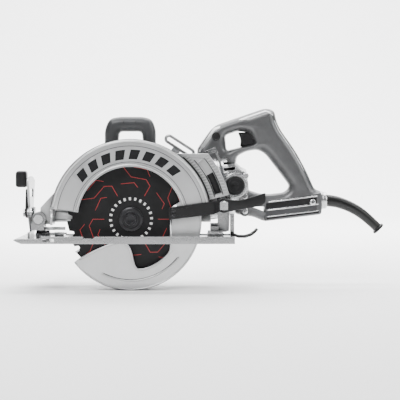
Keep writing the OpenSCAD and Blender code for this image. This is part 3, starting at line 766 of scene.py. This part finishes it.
def screw(place, axis, r, height):
    """A pan head standing on its place, and two crossed bars through its top where its recess is."""
    axis = axis.normalized()
    u, v = basis(axis)
    head = lathe(rounded_profile([(0, 0.1), (0, r), (height * 0.55, r), (height, r * 0.62),
                                  (height, 0.1)], r * 0.3, 4), place, axis, 40)
    bars = []
    for a, b in ((u, v), (v, u)):
        corners = [a * r * 0.5 + b * r * 0.1, -a * r * 0.5 + b * r * 0.1,
                   -a * r * 0.5 - b * r * 0.1, a * r * 0.5 - b * r * 0.1]
        low = [place + axis * (height - 0.5) * MM + c * MM for c in corners]
        high = [place + axis * (height + 0.06) * MM + c * MM for c in corners]
        bars.append((low + high, [(0, 1, 2, 3), (7, 6, 5, 4), (0, 1, 5, 4), (1, 2, 6, 5),
                                  (2, 3, 7, 6), (3, 0, 4, 7)]))
    return head, join(*bars)


def screws():
    near = Vector((0, -1, 0))
    half = (MOTOR_POINT.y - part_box("handle_shell_near")[0].y) / MM
    sets = {
        "strap_screws_cross": ("strap_screws", [at(60, -19, 5.5), at(60, -19, 13)],
                               3.2, 2, "black_screw"),
        "handle_screws_cross": ("handle_screws", [at(163, MOTOR_Y - half - 0.2, 9),
                                                  at(262, MOTOR_Y - half - 0.2, 22)],
                                4.6, 2, "steel"),
    }
    for name, (node, places, r, height, slot) in sets.items():
        made = [screw(p, near, r, height) for p in places]
        piece(name, *join(*[m[0] for m in made]), "housing", slot, replaces=[node])
        # Painted shade: the crossed bars are dark, standing in for the shaded recess.
        piece(name + "_recess_shade", *join(*[m[1] for m in made]), "housing", slot, DARK_JOINT_AND_PAINTED_SHADE)
    boss = rounded_profile([(0, 0.1), (0, 8), (1.8, 7.4), (1.8, 0.1)], 0.6, 3)
    piece("handle_screw_boss", *lathe(boss, at(163, MOTOR_Y - half + 1.2, 9), near, 48), "housing",
          "gray_handle")
    plug = rounded_profile([(-3, 0.1), (-3, 6), (1.2, 6), (1.5, 5.4), (0.8, 4.4),
                            (0.8, 0.1)], 0.4, 3)
    piece("handle_plug_turned", *lathe(plug, at(121, MOTOR_Y - half, 118), near, 48), "housing",
          "black_plastic", replaces=["handle_plug"])


# ---- Levers, trigger and foot ----

def trigger():
    shape = [(153.2, 124, 2), (157.8, 113, 8), (156.2, 103, 2), (175, 103.4, 3), (184, 110, 3),
             (184, 124, 2)]
    half = 9
    piece("trigger_moulded",
          *rounded_plate(shape, [], MOTOR_Y - half, MOTOR_Y + half, 3, 3, spacing=1.2),
          "trigger_body", "black_plastic", replaces=["trigger"])


def depth_lock():
    lock = [v / MM for v in JOINTS["depth_lever_turn"]["pos_m"]]
    x, z = lock[0], lock[2] - ARBOR.z / MM
    paddle = [(x, z - 9.4, 6), (x + 20, z - 6, 10), (x + 53, z, 5), (x + 58.4, z + 5, 3),
              (x + 58, z + 18.4, 0.8), (x + 46, z + 14.6, 6), (x + 21, z + 7, 10), (x, z + 9.4, 6),
              (x - 9.6, z, 9)]
    piece("depth_lever_paddle", *rounded_plate(paddle, [], -23.9, -19.5, 1.3, 1.3, spacing=1.5),
          "depth_lever_body", "black_plate", replaces=["depth_lever"])
    head = rounded_profile([(24, 0.1), (24, 6.6), (26.5, 6.6), (29.6, 4.4), (30, 2.2),
                            (30, 0.1)], 1.6, 5)
    place = Vector((lock[0] * MM, 0, lock[2] * MM))
    piece("depth_lock_dome", *lathe(head, place, Vector((0, -1, 0)), 48), "housing", "steel")
    soften("depth_lock_bolt", 1.6, 4)
    soften("depth_lock_nut", 0.5)
    soften("guard_strap", 0.7)
    soften("depth_quadrant", 0.5)


def bevel_lever():
    bolt = Vector(JOINTS["bevel_lever_turn"]["pos_m"])
    y, z = bolt.y / MM, (bolt.z - ARBOR.z) / MM
    stem_x = -145.5
    stem = [(-148.2, z - 7, 3), (-151.6, z - 2, 4), (-151.6, z + 10, 8), (-150.6, z + 34, 5),
            (-146, z + 35, 4), (-145.6, z + 10, 8), (-145.6, z - 6, 2)]
    knob = [(-164.6, z + 36, 4), (-164.6, z + 59.5, 5), (-149, z + 59.5, 4), (-148.4, z + 36, 4)]
    boss = rounded_profile([(0, 0.1), (0, 8), (5, 8), (6.2, 6.8), (6.2, 0.1)], 0.8, 3)
    parts = [
        rounded_plate(stem, [], y - 4.5, y + 4.5, 1.8, 1.8, spacing=1.2),
        lathe(boss, bolt + Vector((stem_x * MM, 0, 0)) - Vector((bolt.x, 0, 0)),
              Vector((-1, 0, 0)), 48),
    ]
    piece("bevel_lever_stem", *join(*parts), "bevel_lever_body", "black_plate",
          replaces=["bevel_lever"])
    piece("bevel_lever_knob", *rounded_plate(knob, [], y - 8, y + 8, 3, 3, spacing=1.2),
          "bevel_lever_body", "black_plastic")


def stop_lever():
    place = [v / MM for v in JOINTS["stop_lever_turn"]["pos_m"]]
    x, z = place[0], place[2] - ARBOR.z / MM
    points = [(x, z - 1), (x + 9, z - 4.2), (x + 18, z - 4.4), (x + 26, z - 2),
              (x + 32, z + 2.4), (x + 36, z + 6.6)]
    rows = []
    for side in (-1, 1):
        rows.append(tube([at(px, side * 7.4, pz) for px, pz in points],
                         [1.9, 1.9, 1.9, 1.9, 1.8, 1.4], 14))
    rows.append(tube([at(x + 34, -7.6, z + 5), at(x + 34, 7.6, z + 5)], 1.7, 14))
    rows.append(tube([at(x, -9, z), at(x, 9, z)], 1.9, 18))
    piece("stop_lever_wire", *join(*rows), "stop_lever_body", "black_plate",
          replaces=["bevel_stop_lever"])


def foot_details():
    for node, width in (("foot_plate", 0.8), ("front_bracket", 1.0), ("bevel_quadrant", 0.4),
                        ("rear_bracket", 0.8), ("bevel_bolt", 0.5), ("depth_pivot_pin", 0.8),
                        ("oil_plug", 0.4), ("spindle_lock_button", 0.5)):
        soften(node, width)
    y0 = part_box("foot_plate")[0].y / MM
    bars = []
    for z, x0, x1, r in ((-12.5, -131, -92, 2.3), (-19.5, -128, -90, 1.4)):
        bars.append(tube([at(x0, -9, z), at(x1, -9, z)], r, 20))
    piece("hinge_bars", *join(*bars), "depth_carriage", "foot_metal")
    bead = tube([at(x, y0 + 1.4, -ARBOR.z / MM + 1.3) for x in (-148, -100, 0, 100, 145)], 1.3, 12)
    piece("foot_edge_bead", *bead, "foot", "cast_guard")


# ---- Camera, light and floor ----

def area_light(name, place, target, size, power, colour=(1, 1, 1)):
    light = bpy.data.lights.new(name, "AREA")
    light.shape = "RECTANGLE"
    light.size, light.size_y = size
    light.energy = power
    light.color = colour
    obj = bpy.data.objects.new(name, light)
    obj.location = place
    obj.rotation_euler = (Vector(target) - Vector(place)).to_track_quat("-Z", "Y").to_euler()
    bpy.context.scene.collection.objects.link(obj)


def stage_and_light():
    floor_z = cad_box[0][2]
    radius, depth, steps = 1.2, 3.0, 16
    profile = [(-3.5, 0.0), (depth - radius, 0.0)]
    profile += [(depth - radius + radius * math.sin(a), radius - radius * math.cos(a))
                for a in [math.pi / 2 * i / steps for i in range(1, steps + 1)]]
    profile.append((depth, 4.0))
    verts = [(x, y, floor_z + z) for y, z in profile for x in (-5, 5)]
    faces = [(2 * i, 2 * i + 1, 2 * i + 3, 2 * i + 2) for i in range(len(profile) - 1)]
    mesh = bpy.data.meshes.new("studio_floor")
    mesh.from_pydata(verts, [], faces)
    mesh.polygons.foreach_set("use_smooth", [True] * len(mesh.polygons))
    mesh.materials.append(material("floor", (0.93, 0.93, 0.93), 0.0, 0.9, 0.008, 0.02, 200, 0.0))
    floor = bpy.data.objects.new("studio_floor", mesh)
    bpy.context.scene.collection.objects.link(floor)

    world = bpy.data.worlds.new("studio")
    world.use_nodes = True
    world.node_tree.nodes["Background"].inputs["Color"].default_value = (0.95, 0.97, 1.0, 1)
    world.node_tree.nodes["Background"].inputs["Strength"].default_value = 0.26
    bpy.context.scene.world = world
    centre = (0.1, 0.0, 0.06)
    area_light("key", (-0.5, -1.2, 1.3), centre, (0.9, 0.5), 30)
    area_light("rim", (1.3, -0.5, 0.9), centre, (0.3, 0.9), 12)
    area_light("top", (0.1, 0.15, 1.2), centre, (1.5, 0.45), 26)
    area_light("backdrop_wash", (0.1, 1.1, 1.6), (0.1, 2.6, 0.5), (3.5, 0.5), 200)
    area_light("floor_wash", (0.1, 1.2, 1.5), (0.1, 1.0, -0.1), (3.0, 0.8), 85)


def camera():
    distance, elevation, width = 1.65, math.radians(2.2), 0.566
    target = Vector((0.0976, 0, ARBOR.z + 0.0272))
    cam = bpy.data.cameras.new("camera")
    cam.sensor_width = 36
    cam.lens = 36 * distance / width
    cam.clip_end = 20
    obj = bpy.data.objects.new("camera", cam)
    obj.location = target + Vector((0, -math.cos(elevation), math.sin(elevation))) * distance
    obj.rotation_euler = (target - obj.location).to_track_quat("-Z", "Y").to_euler()
    bpy.context.scene.collection.objects.link(obj)
    bpy.context.scene.camera = obj


def finish_cad_nodes():
    """Every CAD node takes the material of its slot."""
    for row in frame["record"]["subparts"]:
        mesh = NODES[row["node"]].data
        mesh.materials.clear()
        mesh.materials.append(MATERIALS[row["material_slot"]])


camera()
stage_and_light()
finish_cad_nodes()
upper_guard_details()
lower_guard_details()
lift_loop()
rear_shroud_details()
blade_details()
rear_handle()
handle_block()
front_handle()
motor_details()
brush_caps()
cord_boot()
screws()
trigger()
depth_lock()
bevel_lever()
stop_lever()
foot_details()
